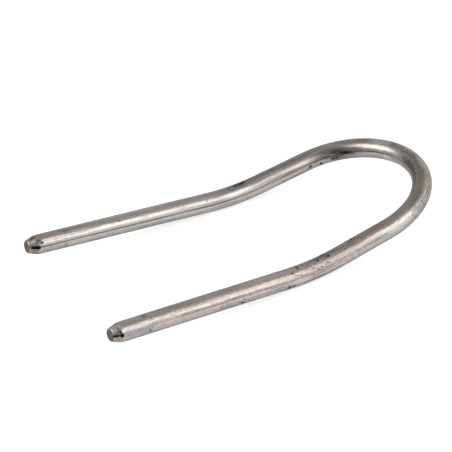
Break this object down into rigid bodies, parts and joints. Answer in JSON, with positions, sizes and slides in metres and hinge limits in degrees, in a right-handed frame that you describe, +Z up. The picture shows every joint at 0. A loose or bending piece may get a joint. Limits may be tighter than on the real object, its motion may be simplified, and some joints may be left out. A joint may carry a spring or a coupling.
{
  "type": "cotter pin",
  "caption": "U-shaped cotter pin of round steel wire, with straight splayed legs, tapered tips, and a bow that knees in the legs tip up as a grip.",
  "frame": {"origin": "on the surface that the pin rests on, touched by the undersides of its two knees, under the middle of the pin's bounding box", "axes": "+X from the tapered tips towards the crown of the bow, along the length; +Y across, towards the longer leg; +Z up, as the pin lies at rest, with the bow and the tips of the legs both a little raised"},
  "size_m": [0.099, 0.0518, 0.0111],
  "materials": {
    "drawn_steel": "bare drawn wire with fine lengthwise lines, small dark pits, tool marks at the knees and a few specks of rust"
  },
  "bodies": {
    "root": {"cotter_pin": "drawn_steel"}
  },
  "joints": []
}
